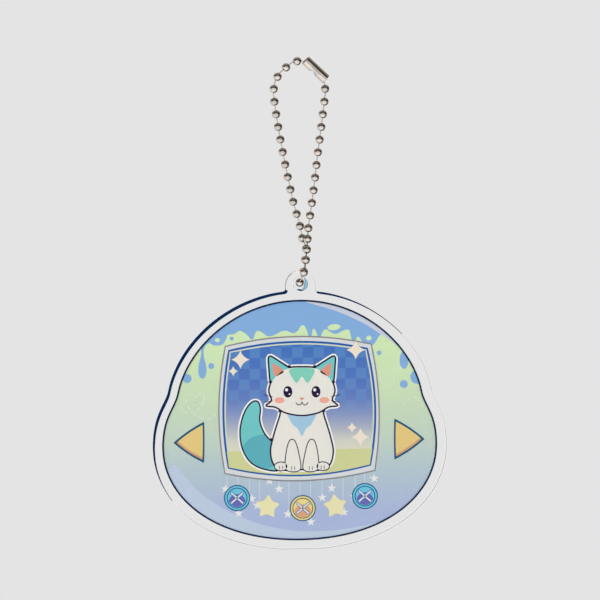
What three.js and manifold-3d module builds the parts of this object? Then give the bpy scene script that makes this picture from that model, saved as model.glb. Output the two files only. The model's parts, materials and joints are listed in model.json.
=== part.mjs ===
// Acrylic charm keychain, printed with a virtual pet toy, on a loop of ball chain. Millimetres, +Z up.
// The charm hangs in the XZ plane and its printed face looks along -Y. The origin is the hang point:
// the top of the inside of the chain loop, where a ring, hook or strap carries the keychain.
import * as THREE from "three";
import { mergeVertices } from "three/addons/utils/BufferGeometryUtils.js";
import Module from "manifold-3d";

// Charm: a clear slab with a printed film on its back.
const SLAB_THICKNESS = 3;
const PRINT_TOP_Z = -61.05;
const PRINT_HEIGHT = 63.3;
const SHOULDER = { x: 32.33, drop: 24.7 }; // where the dome meets the wider base
const HIP = { x: 36.2, drop: 38.5 }; // the widest point
const CLEAR_MARGIN = 2.4; // bare acrylic all round the print
const TAB_RADIUS = 3.9;
const TAB_CENTRE_Z = -57.2;
const HOLE_RADIUS = 1.87;
const HOLE_CENTRE_Z = -56.75;
const FILM_THICKNESS = 0.1;
const FILM_GAP = 0.02;

// Ball chain: hollow beads, each with the wire link that joins it to the bead above.
const BEAD_RADIUS = 1.1;
const BEAD_WALL = 0.15;
const EYE_RADIUS = 0.4; // the hole that a link passes through
const LINK_RADIUS = 0.19;
const LINK_HEAD_RADIUS = 0.45;
const LINK_HEAD_INSET = 0.25; // from the middle of the bead that holds the head
const BEADS_IN_TOP_ARC = 3; // left beads above the level of the first right one

// Clasp: a sleeve of rolled sheet that grips the chain's two end beads.
const CLASP_LENGTH = 7.4;
const CLASP_RADIUS = 1.34;
const CLASP_WALL = 0.14;
const CLASP_LIP = 0.32; // how far each end turns in over its bead
const CLASP_SLOT_WIDTH = 0.74;
const CLASP_MOUTH_RADIUS = 1.12; // the wider opening that a bead snaps in through
const CLASP_CENTRE = new THREE.Vector3(3.95, 0, -1.1);
const CLASP_TILT = THREE.MathUtils.degToRad(-43);
const CLASP_BEAD_INSET = { left: 1.5, right: 1.25 };

// The chain bends level by level, a bead of the right strand and one of the left together.
const FLEX_DEG = 20; // each way, for one bead on the next
const CROSSING_FLEX_DEG = 10; // where the strands cross, they stop each other sooner
const CROSSING_LEVELS = [12, 13, 14];
const FRONT_TO_BACK_LEVELS = 13; // levels below these sway sideways instead

const NICKEL = new THREE.MeshStandardMaterial({ color: 0xb9b2aa, roughness: 0.18, metalness: 1 });
const ACRYLIC = new THREE.MeshStandardMaterial({
  color: 0xf4f6f7,
  roughness: 0.04,
  metalness: 0,
  transparent: true,
  opacity: 0.3,
});
const COLOUR_INK = new THREE.MeshStandardMaterial({ color: 0xa9c6cf, roughness: 0.5, metalness: 0 });
const WHITE_INK = new THREE.MeshStandardMaterial({ color: 0xf3f3f0, roughness: 0.6, metalness: 0 });

const wasm = await Module();
wasm.setup();

const UP = new THREE.Vector3(0, 1, 0); // the axis that LatheGeometry turns about

function solidOf(geometry) {
  const bare = geometry.clone();
  bare.deleteAttribute("normal");
  bare.deleteAttribute("uv");
  const merged = mergeVertices(bare, 1e-4);
  const mesh = new wasm.Mesh({
    numProp: 3,
    vertProperties: merged.attributes.position.array,
    triVerts: new Uint32Array(merged.index.array),
  });
  return new wasm.Manifold(mesh);
}

function geometryOf(solid) {
  const mesh = solid.getMesh();
  const geometry = new THREE.BufferGeometry();
  geometry.setAttribute("position", new THREE.BufferAttribute(mesh.vertProperties, 3));
  geometry.setIndex(new THREE.BufferAttribute(mesh.triVerts, 1));
  geometry.computeVertexNormals();
  return geometry;
}

function named(name, geometry, material) {
  const mesh = new THREE.Mesh(geometry, material);
  mesh.name = name;
  return mesh;
}

// A plate of the given outline, upright in the XZ plane, from y = front to y = front + thickness.
function plate(shape, thickness, front, curveSegments = 12) {
  return new THREE.ExtrudeGeometry(shape, { depth: thickness, bevelEnabled: false, curveSegments })
    .rotateX(Math.PI / 2)
    .translate(0, front + thickness, 0);
}

// Right half of the print's outline, from the top to the bottom: dome, shoulder and base.
function halfOutline() {
  const shoulder = [SHOULDER.x, PRINT_TOP_Z - SHOULDER.drop];
  const hip = [HIP.x, PRINT_TOP_Z - HIP.drop];
  const bottom = [0, PRINT_TOP_Z - PRINT_HEIGHT];
  const half = new THREE.Path();
  half.moveTo(0, PRINT_TOP_Z);
  half.bezierCurveTo(16.6, PRINT_TOP_Z, 29.95, shoulder[1] + 12.7, ...shoulder);
  half.bezierCurveTo(33.3, shoulder[1] - 3.7, hip[0], hip[1] + 8, ...hip);
  half.bezierCurveTo(hip[0], hip[1] - 12.7, 23.5, bottom[1], ...bottom);
  return half.getPoints(14);
}

function wholeOutline() {
  const right = halfOutline();
  const left = right.slice(1, -1).reverse().map((p) => new THREE.Vector2(-p.x, p.y));
  return [...right, ...left];
}

// The outline moved outwards by a distance, point by point along the mean of its two edges' normals.
function movedOut(points, distance) {
  return points.map((p, i) => {
    const before = points.at(i - 1);
    const after = points[(i + 1) % points.length];
    const along = after.clone().sub(before).normalize();
    return p.clone().add(new THREE.Vector2(-along.y, along.x).multiplyScalar(distance));
  });
}

function tabShape(base) {
  const shape = new THREE.Shape();
  shape.moveTo(-TAB_RADIUS, base);
  shape.lineTo(TAB_RADIUS, base);
  shape.lineTo(TAB_RADIUS, TAB_CENTRE_Z);
  shape.absarc(0, TAB_CENTRE_Z, TAB_RADIUS, 0, Math.PI, false);
  return shape;
}

function makeSlab() {
  const outline = new THREE.Shape(movedOut(wholeOutline(), CLEAR_MARGIN));
  const front = -SLAB_THICKNESS / 2;
  const body = solidOf(plate(outline, SLAB_THICKNESS, front));
  const tab = solidOf(plate(tabShape(PRINT_TOP_Z - 1), SLAB_THICKNESS, front, 20));
  const hole = new THREE.Shape().absarc(0, HOLE_CENTRE_Z, HOLE_RADIUS, 0, 2 * Math.PI, false);
  const drill = solidOf(plate(hole, SLAB_THICKNESS + 2, front - 1, 20));
  return named("clear_acrylic_slab", geometryOf(body.add(tab).subtract(drill)), ACRYLIC);
}

function makeFilm(name, layer, material) {
  const front = SLAB_THICKNESS / 2 + FILM_GAP + layer * (FILM_THICKNESS + FILM_GAP);
  return named(name, plate(new THREE.Shape(wholeOutline()), FILM_THICKNESS, front), material);
}

// A geometry made round +Y, turned so that +Y points along a direction, with its origin at a place.
function aimed(geometry, direction, place) {
  const turn = new THREE.Quaternion().setFromUnitVectors(UP, direction.clone().normalize());
  return geometry.applyQuaternion(turn).translate(...place.toArray());
}

// Half a circle's worth of profile points, from one angle to another measured up from the -Y pole.
function arcProfile(radius, centre, from, to, steps) {
  return Array.from({ length: steps + 1 }, (_, i) => {
    const angle = from + ((to - from) * i) / steps;
    return new THREE.Vector2(Math.max(0, radius * Math.sin(angle)), centre - radius * Math.cos(angle));
  });
}

// A hollow bead with one eye, at its -Y pole.
function beadShell() {
  const inside = BEAD_RADIUS - BEAD_WALL;
  const outer = arcProfile(BEAD_RADIUS, 0, Math.asin(EYE_RADIUS / BEAD_RADIUS), Math.PI, 7);
  const inner = arcProfile(inside, 0, Math.asin(EYE_RADIUS / inside), Math.PI, 4).reverse();
  return new THREE.LatheGeometry([...inner, ...outer], 10);
}

// A link's wire from one distance to another along +Y, with a round head centred at its far end,
// and at its near end too if both beads hold it loosely.
function linkRod(near, far, headAtNear = false) {
  const neck = Math.asin(LINK_RADIUS / LINK_HEAD_RADIUS);
  const start = headAtNear
    ? arcProfile(LINK_HEAD_RADIUS, near, 0, Math.PI - neck, 4)
    : [new THREE.Vector2(0, near), new THREE.Vector2(LINK_RADIUS, near)];
  const head = arcProfile(LINK_HEAD_RADIUS, far, neck, Math.PI, 4);
  return new THREE.LatheGeometry([...start, ...head], 8);
}

// One bead as a node: its shell, whose eye faces the next bead, and the link up to the bead before.
function makeBead(name, centre, before, next) {
  let solid = solidOf(aimed(beadShell(), centre.clone().sub(next), centre));
  if (before) {
    const up = before.clone().sub(centre);
    const rod = linkRod(BEAD_RADIUS - BEAD_WALL / 2, up.length() - LINK_HEAD_INSET);
    solid = solid.add(solidOf(aimed(rod, up, centre)));
  }
  return named(name, geometryOf(solid), NICKEL);
}

function beadsAlong(points, count) {
  const curve = new THREE.CatmullRomCurve3(points.map((p) => new THREE.Vector3(...p)));
  return Array.from({ length: count }, (_, i) => curve.getPointAt((i + 1) / count));
}

function claspPoint(along) {
  const axis = new THREE.Vector3(Math.cos(CLASP_TILT), 0, Math.sin(CLASP_TILT));
  return CLASP_CENTRE.clone().addScaledVector(axis, along);
}

// Middles of the beads, from each end of the clasp down to the hole in the tab.
// Both strands run the same way round: the left one passes behind the slab and the right one in front.
function strands() {
  const leftEnd = claspPoint(-CLASP_LENGTH / 2 + CLASP_BEAD_INSET.left);
  const rightEnd = claspPoint(CLASP_LENGTH / 2 - CLASP_BEAD_INSET.right);
  const left = [
    leftEnd,
    ...beadsAlong(
      [
        leftEnd.toArray(),
        [-0.75, 0, 1.2],
        [-3.65, 0, -0.35],
        [-5.9, 0, -2.75],
        [-6.95, 0, -5.95],
        [-6.8, 0, -9.2],
        [-5.3, 0, -18.9],
        [-3.4, 0, -28.5],
        [-1.95, 0.1, -35.1],
        [-0.05, 0.45, -41.85],
        [0.6, 1, -44.95],
      ],
      16,
    ),
    ...beadsAlong([[0.6, 1, -44.95], [1.7, 1.75, -47.9], [1.55, 2.6, -50.6], [1.2, 3, -53.85]], 3),
    new THREE.Vector3(0, 1.25, -56.55),
  ];
  const right = [
    rightEnd,
    ...beadsAlong(
      [
        rightEnd.toArray(),
        [6.45, 0, -5.95],
        [5.8, 0, -13],
        [4.55, 0, -22.8],
        [3.4, 0, -32.7],
        [2.04, -0.4, -42.25],
      ],
      12,
    ),
    ...beadsAlong([[2.04, -0.4, -42.25], [1.75, -1, -45.4], [1.5, -1.7, -47.8], [1.15, -2.6, -50.4]], 3),
    new THREE.Vector3(0.6, -3, -53.6),
    new THREE.Vector3(-0.3, -1.3, -56.4),
  ];
  return { left, right };
}

// The sleeve lies along +Y with its slot towards +X, and is then turned into place.
function claspSleeve() {
  const half = CLASP_LENGTH / 2;
  const inside = CLASP_RADIUS - CLASP_WALL;
  const mouth = inside - CLASP_LIP;
  const profile = [
    [mouth, -half],
    [CLASP_RADIUS - 0.12, -half],
    [CLASP_RADIUS, -half + 0.18],
    [CLASP_RADIUS, half - 0.18],
    [CLASP_RADIUS - 0.12, half],
    [mouth, half],
    [mouth, half - CLASP_WALL],
    [inside, half - CLASP_WALL - 0.12],
    [inside, -half + CLASP_WALL + 0.12],
    [mouth, -half + CLASP_WALL],
    [mouth, -half],
  ];
  const tube = solidOf(new THREE.LatheGeometry(profile.map((p) => new THREE.Vector2(...p)), 24));
  const slot = new THREE.BoxGeometry(CLASP_RADIUS * 2, CLASP_LENGTH + 1, CLASP_SLOT_WIDTH);
  const mouthCutter = new THREE.CylinderGeometry(CLASP_MOUTH_RADIUS, CLASP_MOUTH_RADIUS, CLASP_RADIUS * 2, 20);
  slot.translate(CLASP_RADIUS, 0, 0);
  mouthCutter.rotateZ(Math.PI / 2).translate(CLASP_RADIUS, 0, 0);
  return tube.subtract(solidOf(slot)).subtract(solidOf(mouthCutter));
}

function makeClasp() {
  const axis = new THREE.Vector3(Math.cos(CLASP_TILT), 0, Math.sin(CLASP_TILT));
  const slotSide = new THREE.Vector3(axis.z, 0, -axis.x); // the inside of the loop
  const turn = new THREE.Matrix4().makeBasis(slotSide, axis, slotSide.clone().cross(axis));
  const geometry = geometryOf(claspSleeve()).applyMatrix4(turn).translate(...CLASP_CENTRE.toArray());
  return named("clasp_sleeve", geometry, NICKEL);
}

// The link that closes the loop inside the tab's hole.
function makeClosingLink(from, to) {
  const along = to.clone().sub(from);
  const rod = linkRod(LINK_HEAD_INSET, along.length() - LINK_HEAD_INSET, true);
  return named("closing_link", aimed(rod, along, from), NICKEL);
}

function beadName(side, index) {
  return index ? `bead_${side}_${String(index).padStart(2, "0")}` : `end_bead_${side}`;
}

function makeStrand(side, beads, lastFaces) {
  return beads.map((centre, i) =>
    makeBead(beadName(side, i), centre, beads[i - 1], beads[i + 1] ?? lastFaces),
  );
}

// Where bead i of a strand turns on the bead before it: the eye that its link passes through.
function eyeOf(beads, i) {
  return beads[i].clone().sub(beads[i - 1]).setLength(BEAD_RADIUS).add(beads[i - 1]);
}

// Each level turns on the one above about a line through the middle of its two beads' eyes. Both beads
// of a level turn together, so the loop stays closed, and the positive way alternates down the chain.
function hinges(left, right) {
  return right.slice(1).map((_, i) => {
    const level = i + 1;
    const turn = level % 2 ? 1 : -1;
    const pivot = eyeOf(right, level).add(eyeOf(left, level + BEADS_IN_TOP_ARC)).multiplyScalar(0.5);
    return {
      beads: [beadName("right", level), beadName("left", level + BEADS_IN_TOP_ARC)],
      pivot: pivot.toArray(),
      axis: level <= FRONT_TO_BACK_LEVELS ? [turn, 0, 0] : [0, turn, 0],
      flex: CROSSING_LEVELS.includes(level) ? CROSSING_FLEX_DEG : FLEX_DEG,
    };
  });
}

const { left, right } = strands();
const charm = new THREE.Group();
charm.add(makeSlab(), makeFilm("colour_print_film", 0, COLOUR_INK), makeFilm("white_backing_film", 1, WHITE_INK));

const chain = new THREE.Group();
chain.add(makeClasp());
chain.add(...makeStrand("left", left, right.at(-1)));
chain.add(...makeStrand("right", right, left.at(-1)));
chain.add(makeClosingLink(right.at(-1), left.at(-1)));

const keychain = new THREE.Group();
keychain.add(charm, chain);
keychain.userData = { hinges: hinges(left, right), beads: { left, right } };

export default keychain;
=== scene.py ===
"""Acrylic charm keychain, printed with a virtual pet toy, on a loop of ball chain."""
import bisect
import json
import math

import bmesh
import bpy
from mathutils import Matrix, Vector
from mathutils.geometry import tessellate_polygon


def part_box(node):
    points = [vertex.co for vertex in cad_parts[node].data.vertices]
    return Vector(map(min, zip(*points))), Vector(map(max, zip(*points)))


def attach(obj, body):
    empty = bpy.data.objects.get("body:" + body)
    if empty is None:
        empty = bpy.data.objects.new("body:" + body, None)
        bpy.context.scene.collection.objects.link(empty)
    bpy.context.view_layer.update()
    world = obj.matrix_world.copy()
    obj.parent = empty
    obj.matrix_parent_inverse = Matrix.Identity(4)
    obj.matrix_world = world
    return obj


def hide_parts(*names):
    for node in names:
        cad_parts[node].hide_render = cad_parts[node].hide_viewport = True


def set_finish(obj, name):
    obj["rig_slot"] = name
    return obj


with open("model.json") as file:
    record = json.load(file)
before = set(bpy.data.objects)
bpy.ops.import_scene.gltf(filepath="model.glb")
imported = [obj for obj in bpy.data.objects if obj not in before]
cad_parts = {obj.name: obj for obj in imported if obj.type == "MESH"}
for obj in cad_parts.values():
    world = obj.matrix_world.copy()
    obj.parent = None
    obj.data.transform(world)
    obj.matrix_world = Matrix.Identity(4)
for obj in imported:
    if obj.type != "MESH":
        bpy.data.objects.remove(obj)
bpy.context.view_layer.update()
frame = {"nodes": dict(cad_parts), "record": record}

MM = 0.001

# ---------------------------------------------------------------- camera
AIM = Vector((-0.0001, 0.0, -0.06107))
VIEW_AZIMUTH = math.radians(-6)
VIEW_ELEVATION = math.radians(4.5)
FRAME_WIDTH = 0.1566
LENS = 250.0
SENSOR = 36.0


def make_camera():
    data = bpy.data.cameras.new("camera")
    data.lens, data.sensor_width = LENS, SENSOR
    data.clip_start, data.clip_end = 0.05, 20.0
    cam = bpy.data.objects.new("camera", data)
    bpy.context.scene.collection.objects.link(cam)
    back = Vector(
        (
            math.sin(VIEW_AZIMUTH) * math.cos(VIEW_ELEVATION),
            -math.cos(VIEW_AZIMUTH) * math.cos(VIEW_ELEVATION),
            math.sin(VIEW_ELEVATION),
        )
    )
    cam.location = AIM + back * (FRAME_WIDTH * LENS / SENSOR)
    cam.rotation_mode = "QUATERNION"
    cam.rotation_quaternion = (-back).to_track_quat("-Z", "Y")
    bpy.context.scene.camera = cam
    return cam


make_camera()
bpy.context.scene.view_settings.view_transform = "Standard"
bpy.context.scene.view_settings.look = "None"


# ---------------------------------------------------------------- materials
def linear(rgb):
    """An sRGB colour of 0 to 255 as the shader wants it."""
    out = []
    for value in rgb:
        c = value / 255
        out.append(c / 12.92 if c <= 0.04045 else ((c + 0.055) / 1.055) ** 2.4)
    return (*out, 1.0)


INK_ROUGHNESS = 0.42
INK_GRAIN = 0.035


class Nodes:
    """A material, or the world, and short ways to add nodes to it."""

    def __init__(self, owner):
        owner.use_nodes = True
        self.tree = owner.node_tree
        self.tree.nodes.clear()

    def add(self, kind, inputs=None, **settings):
        node = self.tree.nodes.new(kind)
        for key, value in settings.items():
            setattr(node, key, value)
        for key, value in (inputs or {}).items():
            if isinstance(value, bpy.types.NodeSocket):
                self.tree.links.new(value, node.inputs[key])
            else:
                node.inputs[key].default_value = value
        return node

    def ramp(self, factor, stops, interpolation="LINEAR"):
        node = self.add("ShaderNodeValToRGB", {"Fac": factor})
        node.color_ramp.interpolation = interpolation
        elements = node.color_ramp.elements
        while len(elements) < len(stops):
            elements.new(0.5)
        for element, (position, colour) in zip(elements, stops):
            element.position, element.color = position, colour
        return node.outputs["Color"]

    def map(self, value, low, high, to_low=0.0, to_high=1.0):
        inputs = {"Value": value, "From Min": low, "From Max": high, "To Min": to_low, "To Max": to_high}
        return self.add("ShaderNodeMapRange", inputs).outputs["Result"]

    def maths(self, operation, a, b=0.0):
        return self.add("ShaderNodeMath", {0: a, 1: b}, operation=operation).outputs[0]

    def mix(self, factor, a, b, blend="MIX"):
        node = self.add("ShaderNodeMix", data_type="RGBA", blend_type=blend)
        for socket, value in ((0, factor), (6, a), (7, b)):
            if isinstance(value, bpy.types.NodeSocket):
                self.tree.links.new(value, node.inputs[socket])
            else:
                node.inputs[socket].default_value = value
        return node.outputs[2]

    def noise(self, scale, detail=2.0, vector=None, roughness=0.5):
        inputs = {"Scale": scale, "Detail": detail, "Roughness": roughness}
        inputs["Vector"] = vector or self.place()
        return self.add("ShaderNodeTexNoise", inputs).outputs["Fac"]

    def place(self):
        return self.add("ShaderNodeTexCoord").outputs["Object"]

    def axis(self, name):
        split = self.add("ShaderNodeSeparateXYZ", {"Vector": self.place()})
        return split.outputs[name]

    def shader(self, kind, inputs=None, **settings):
        shader = self.add(kind, inputs, **settings)
        self.add("ShaderNodeOutputMaterial", {"Surface": shader.outputs[0]})

    def flat_ink(self, colour):
        inputs = {"Base Color": colour, "Roughness": INK_ROUGHNESS, "Specular IOR Level": 0.0}
        self.shader("ShaderNodeBsdfPrincipled", inputs)


def ink(name, rgb, gradient=None):
    """A printed colour, ink_NAME: fine grain over one colour, or over stops of (height in mm, colour)."""
    material = bpy.data.materials.new(f"ink_{name}")
    n = Nodes(material)
    if gradient:
        bottom, span = gradient[0][0], gradient[-1][0] - gradient[0][0]
        stops = [((h - bottom) / span, linear(c)) for h, c in gradient]
        low = (bottom + CENTRE[1]) * MM
        colour = n.ramp(n.map(n.axis("Z"), low, low + span * MM), stops)
    else:
        colour = linear(rgb)
    dots = n.map(n.noise(9000, 1.0), 0.3, 0.7, 1 - INK_GRAIN, 1 + INK_GRAIN * 0.4)
    tone = n.map(n.noise(90, 2.0), 0.25, 0.75, 0.985, 1.01)
    value = n.maths("MULTIPLY", dots, tone)
    grey = n.add("ShaderNodeCombineXYZ", {"X": value, "Y": value, "Z": value}).outputs[0]
    colour = n.mix(1.0, colour, grey, "MULTIPLY")
    n.flat_ink(colour)
    return material


def nickel(name, tint=(186, 178, 170), rough=0.14):
    """Nickel plate: soft haze, fine drawing lines and a little darker tarnish in patches."""
    material = bpy.data.materials.new(name)
    n = Nodes(material)
    haze = n.noise(700, 3.0)
    patches = n.map(n.noise(420, 2.0), 0.35, 0.75)
    colour = n.mix(patches, linear(tint), linear([c * 0.86 for c in tint]))
    roughness = n.map(haze, 0.2, 0.8, rough * 0.7, rough * 1.6)
    bump = n.add("ShaderNodeBump", {"Strength": 0.08, "Distance": 0.00002, "Height": n.noise(5200, 2.0)})
    n.shader(
        "ShaderNodeBsdfPrincipled",
        {"Base Color": colour, "Metallic": 1.0, "Roughness": roughness, "Normal": bump.outputs["Normal"]},
    )
    return material


def clear_acrylic():
    material = bpy.data.materials.new("clear_acrylic")
    n = Nodes(material)
    scuffs = n.map(n.noise(350, 4.0, roughness=0.7), 0.55, 0.8, 0.0, 0.05)
    n.shader(
        "ShaderNodeBsdfPrincipled",
        {"Base Color": (1, 1, 1, 1), "Transmission Weight": 1.0, "IOR": 1.49, "Roughness": scuffs},
    )
    return material


# ---------------------------------------------------------------- flat shapes
def V2(point):
    return Vector((point[0], point[1]))


def smooth(points, closed=True, steps=6):
    """A Catmull-Rom curve through the points."""
    pts = [V2(p) for p in points]
    count = len(pts)
    out = []
    for i in range(count if closed else count - 1):
        if closed:
            p0, p1, p2, p3 = (pts[(i + k) % count] for k in (-1, 0, 1, 2))
        else:
            p0, p1, p2, p3 = (pts[min(max(i + k, 0), count - 1)] for k in (-1, 0, 1, 2))
        for s in range(steps):
            t = s / steps
            a = p1 * 2
            b = (p2 - p0) * t
            c = (p0 * 2 - p1 * 5 + p2 * 4 - p3) * t * t
            d = (p1 * 3 - p0 - p2 * 3 + p3) * t * t * t
            out.append((a + b + c + d) * 0.5)
    if not closed:
        out.append(pts[-1])
    return out


def arc_side(a, b, bulge, steps=14):
    """A shallow arc from a towards b, pushed out by bulge at its middle, without its last point."""
    a, b = V2(a), V2(b)
    along = b - a
    out = Vector((along.y, -along.x)).normalized()
    return [a + along * (s / steps) + out * bulge * 4 * (s / steps) * (1 - s / steps) for s in range(steps)]


def bowed(corners, bulges):
    """A four-sided figure with bowed sides."""
    points = []
    for i, corner in enumerate(corners):
        points += arc_side(corner, corners[(i + 1) % len(corners)], bulges[i])
    return points


def ellipse(centre, rx, ry=None, turn=0.0, steps=28):
    ry = rx if ry is None else ry
    c, s = math.cos(turn), math.sin(turn)
    out = []
    for i in range(steps):
        a = 2 * math.pi * i / steps
        x, y = rx * math.cos(a), ry * math.sin(a)
        out.append(Vector((centre[0] + x * c - y * s, centre[1] + x * s + y * c)))
    return out


def star(centre, radius, inner=0.45, tips=5, turn=0.0, rounding=0.0):
    """A star with straight sides, its tips and notches rounded by rounding (0 to 1)."""
    corners = []
    for i in range(tips * 2):
        a = math.pi / 2 + turn + math.pi * i / tips
        r = radius * (inner if i % 2 else 1)
        corners.append(Vector((centre[0] + r * math.cos(a), centre[1] + r * math.sin(a))))
    return rounded(corners, radius * rounding) if rounding else corners


def rounded(corners, size, steps=4):
    """A polygon with each corner replaced by a quadratic curve that starts size from it."""
    corners = [V2(p) for p in corners]
    out = []
    for i, corner in enumerate(corners):
        before, after = corners[i - 1], corners[(i + 1) % len(corners)]
        a = corner + (before - corner).normalized() * min(size, (before - corner).length * 0.45)
        b = corner + (after - corner).normalized() * min(size, (after - corner).length * 0.45)
        for s in range(steps + 1):
            t = s / steps
            out.append(a * (1 - t) ** 2 + corner * 2 * t * (1 - t) + b * t * t)
    return out


def sparkle(centre, half_width, half_height):
    """A four-pointed sparkle with hollow sides."""
    tips = [(0, half_height), (half_width, 0), (0, -half_height), (-half_width, 0)]
    out = []
    for i, tip in enumerate(tips):
        a, b = Vector(tip), Vector(tips[(i + 1) % 4])
        middle = (a + b) * 0.24
        for s in range(8):
            t = s / 8
            out.append(V2(centre) + a * (1 - t) ** 2 + middle * 2 * t * (1 - t) + b * t * t)
    return out


def offset(points, distance, closed=True):
    """The points moved to the left of the way they run."""
    out = []
    count = len(points)
    for i, point in enumerate(points):
        before = points[i - 1] if closed or i else point
        after = points[(i + 1) % count] if closed or i < count - 1 else point
        along = (after - before).normalized()
        out.append(point + Vector((-along.y, along.x)) * distance)
    return out


def inset(points, distance):
    """A closed ring drawn in by distance, or out if it is negative."""
    return offset(turned(points), distance)


def area(points):
    return sum(a.x * b.y - b.x * a.y for a, b in zip(points, points[1:] + points[:1])) / 2


def turned(points, anticlockwise=True):
    return points if (area(points) > 0) == anticlockwise else points[::-1]


def scaled(points, factor, centre):
    c = V2(centre)
    return [c + (p - c) * factor for p in points]


def mirrored(points, about=0.0):
    return [Vector((2 * about - p.x, p.y)) for p in reversed(points)]


# ---------------------------------------------------------------- printed layers
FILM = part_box("colour_print_film")
CENTRE = ((FILM[0].x + FILM[1].x) / 2 / MM, (FILM[0].z + FILM[1].z) / 2 / MM)
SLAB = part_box("clear_acrylic_slab")
SLAB_BACK = SLAB[1].y / MM
DRAWING_SCALE = 1.005  # film millimetres in one unit of the drawing
ART_SHIFT = (0.2, 0.05)  # the drawing sits this far off the middle of the film, in mm
ART_SHEAR = 0.008  # and its right side hangs a little low
LAYER_STEP = 0.0115
LAYER_THICKNESS = 0.006
DEEPEST_LAYER = SLAB_BACK + 0.235


def layer_y(level):
    return DEEPEST_LAYER - LAYER_STEP * level


def mesh_of(bm, name):
    mesh = bpy.data.meshes.new(name)
    bm.to_mesh(mesh)
    bm.free()
    return mesh


def link(mesh, name, material, smooth_angle=None):
    obj = bpy.data.objects.new(name, mesh)
    bpy.context.scene.collection.objects.link(obj)
    if material:
        mesh.materials.append(material)
    if smooth_angle is not None:
        mesh.shade_smooth()
        mesh.set_sharp_from_angle(angle=math.radians(smooth_angle))
    return obj


def on_film(point, k):
    """One coordinate in the frame, in metres, of a point of the drawing: x for k = 0, z for k = 1."""
    across = point[k] + ART_SHIFT[k] - (ART_SHEAR * point[0] if k else 0.0)
    return (across * DRAWING_SCALE + CENTRE[k]) * MM


def add_prism(bm, rings, y, thickness):
    """A flat plate from y to y + thickness (mm), whose outline and holes are in drawing points."""
    rings = [turned([V2(p) for p in ring], i == 0) for i, ring in enumerate(rings)]
    flat = [p for ring in rings for p in ring]
    triangles = tessellate_polygon([[Vector((p.x, p.y, 0)) for p in ring] for ring in rings])
    sides = []
    for depth in (y, y + thickness):
        sides.append([bm.verts.new((on_film(p, 0), depth * MM, on_film(p, 1))) for p in flat])
    front, back = sides
    for a, b, c in triangles:
        pa, pb, pc = flat[a], flat[b], flat[c]
        if (pb - pa).cross(pc - pa) < 0:
            b, c = c, b
        try:
            bm.faces.new((front[a], front[b], front[c]))
            bm.faces.new((back[a], back[c], back[b]))
        except ValueError:
            pass
    start = 0
    for ring in rings:
        count = len(ring)
        for i in range(count):
            j = (i + 1) % count
            bm.faces.new((front[start + j], front[start + i], back[start + i], back[start + j]))
        start += count


def printed(name, shapes, level, material, thickness=LAYER_THICKNESS):
    """The printed piece print_NAME. Each shape is a ring, or a list of a ring and its holes."""
    name = f"print_{name}"
    bm = bmesh.new()
    for shape in shapes:
        has_holes = isinstance(shape[0], (list, tuple)) and not isinstance(shape[0][0], (int, float))
        rings = shape if has_holes else [shape]
        add_prism(bm, rings, layer_y(level), thickness)
    mesh = mesh_of(bm, name)
    obj = link(mesh, name, material)
    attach(obj, "charm")
    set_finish(obj, "colour_print")
    return obj


def band(points, width, closed=False, taper=False):
    """The ring, or ring and hole, of a line of that width along the points."""
    points = [V2(p) for p in points]
    half = width / 2
    if closed:
        points = turned(points)
        return [offset(points, -half), offset(points, half)]
    if taper:
        count = len(points) - 1
        left, right = [], []
        for i, (a, b) in enumerate(zip(offset(points, 1, False), points)):
            w = half * (1 - taper * abs(2 * i / count - 1) ** 1.5)
            left.append(b + (a - b) * w)
            right.append(b - (a - b) * w)
        return left + right[::-1]
    left = offset(points, half, False)
    right = offset(points, -half, False)
    ends = []
    for tip, side in ((points[-1], left[-1]), (points[0], right[0])):
        ray = side - tip
        ends.append([tip + Matrix.Rotation(-math.pi * s / 6, 2) @ ray for s in range(1, 6)])
    return left + ends[0] + right[::-1] + ends[1]


def cad_outline():
    """The print's outline in mm from its centre, anticlockwise from the right, off the CAD film's front."""
    mesh = frame["nodes"]["colour_print_film"].data
    front = min(v.co.y for v in mesh.vertices)
    found = {}
    for v in mesh.vertices:
        if v.co.y < front + 1e-6:
            p = Vector((v.co.x / MM - CENTRE[0], v.co.z / MM - CENTRE[1])) / DRAWING_SCALE
            p -= Vector(ART_SHIFT)
            p.y += ART_SHEAR * p.x
            found[(round(p.x, 3), round(p.y, 3))] = p
    return sorted(found.values(), key=lambda p: math.atan2(p.y, p.x))


OUTLINE = smooth(cad_outline(), steps=3)


# ---------------------------------------------------------------- the print
NAVY = (6, 32, 68)
DRIP_FOOT = {"left": 18, "right": 23.7}  # the dripping top's height in mm where it meets the outline
STRING_TOP = -13.8  # where the stars' strings leave the screen's frame, in mm
GROUND_LINE = -7.25  # the top of the screen's ground, in mm
CHECK_SIZE = 0.0028  # one check of the sky, in metres
CHECK_CORNER = (16.1, -16.46)  # moves the checks' corners onto the print's, in mm
STRIPE_PITCH = 0.0005  # from one slanted stripe of the sky to the next, in metres
CHECK_LIFT = 0.16  # how far a check, and a stripe on it, goes towards the pale blue
STRIPE_LIFT = 0.10
PET_MIDDLE = 0.26  # the kitten's line of symmetry, in mm


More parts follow.
